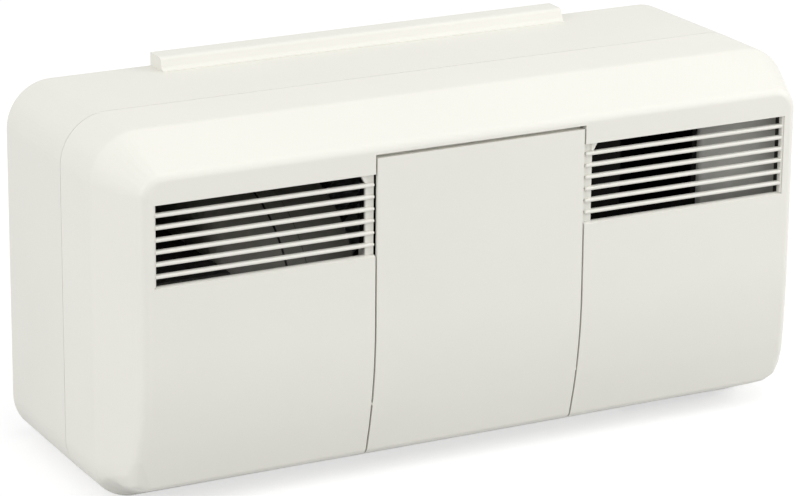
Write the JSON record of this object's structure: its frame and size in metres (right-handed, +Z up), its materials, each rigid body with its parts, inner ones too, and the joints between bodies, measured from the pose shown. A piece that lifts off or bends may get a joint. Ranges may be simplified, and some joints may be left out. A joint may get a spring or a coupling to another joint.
{
  "type": "heat recovery ventilator",
  "caption": "Wide wall-mounted room ventilator with a chamfered housing, lift-off centre cover, slatted openings, a slide-out heat exchanger core, twin blowers and a duct shutter.",
  "frame": {"origin": "on the wall plane, at the middle of the housing's width and height", "axes": "+X to the right along the wall, the front faces -Y, +Y into the wall, +Z up"},
  "size_m": [0.62, 0.241, 0.3095],
  "materials": {
    "white_plastic": "warm off-white ABS with a fine satin grain",
    "dark_plastic": "charcoal moulded plastic with a soft sheen",
    "black_plastic": "black moulded plastic, dull",
    "grey_plastic": "mid-grey plastic",
    "black_foam": "black closed-cell foam",
    "black_rubber": "black rubber",
    "zinc_steel": "zinc-plated sheet steel",
    "bright_steel": "bright steel",
    "core_paper": "treated exchanger paper",
    "filter_fabric": "non-woven filter fleece",
    "strap_fabric": "woven black band",
    "board_plastic": "green circuit board laminate"
  },
  "bodies": {
    "housing": {"rear_casing": "white_plastic", "front_bezel": "white_plastic", "intake_grille": "white_plastic", "outlet_grille": "white_plastic", "mounting_plate": "zinc_steel", "outdoor_spigot": "dark_plastic", "exhaust_spigot": "dark_plastic", "spigot_seals": "black_foam", "core_cradle": "black_plastic", "supply_scroll_inlet_half": "dark_plastic", "supply_scroll_motor_half": "dark_plastic", "supply_inlet_ring": "dark_plastic", "supply_motor": "zinc_steel", "exhaust_scroll_inlet_half": "dark_plastic", "exhaust_scroll_motor_half": "dark_plastic", "exhaust_inlet_ring": "dark_plastic", "exhaust_motor": "zinc_steel", "intake_well_lid": "black_foam", "right_partition": "black_foam", "intake_liner": "black_foam", "outlet_liner": "black_foam", "scroll_seal": "black_foam", "shutter_frame": "black_plastic", "electrical_box": "zinc_steel", "electrical_cover": "zinc_steel", "control_board": "board_plastic", "terminal_block": "white_plastic", "cable_grommet": "black_rubber", "motor_leads": "black_rubber", "bezel_screws": "bright_steel", "blower_screws": "bright_steel"},
    "cover": {"maintenance_cover": "white_plastic", "cover_pad": "black_foam"},
    "core": {"core_block": "core_paper", "core_front_cap": "dark_plastic", "core_rear_cap": "dark_plastic", "core_edge_strips": "dark_plastic", "core_strap": "strap_fabric", "room_filter_frame": "dark_plastic", "room_filter_mat": "filter_fabric", "outdoor_filter_frame": "dark_plastic", "outdoor_filter_mat": "filter_fabric"},
    "supply_rotor": {"supply_impeller": "grey_plastic", "supply_shaft": "bright_steel"},
    "exhaust_rotor": {"exhaust_impeller": "grey_plastic", "exhaust_shaft": "bright_steel"},
    "shutter": {"shutter_plate": "grey_plastic", "shutter_knob": "dark_plastic"}
  },
  "joints": [
    {"name": "cover_pull", "type": "slide", "parent": "housing", "child": "cover", "axis": [0, -1, 0], "range_m": [0, 0.3]},
    {"name": "core_slide", "type": "slide", "parent": "housing", "child": "core", "axis": [0, -1, 0], "range_m": [0, 0.24]},
    {"name": "supply_fan_spin", "type": "hinge", "parent": "housing", "child": "supply_rotor", "pos_m": [-0.173, -0.106, -0.016], "axis": [1, 0, 0], "continuous": true},
    {"name": "exhaust_fan_spin", "type": "hinge", "parent": "housing", "child": "exhaust_rotor", "pos_m": [0.2495, -0.094, -0.07], "axis": [1, 0, 0], "continuous": true},
    {"name": "shutter_slide", "type": "slide", "parent": "housing", "child": "shutter", "axis": [-1, 0, 0], "range_m": [0, 0.076]}
  ],
  "couplings": [
    {"joint": "core_slide", "follows": "cover_pull", "ratio": 0.8}
  ]
}
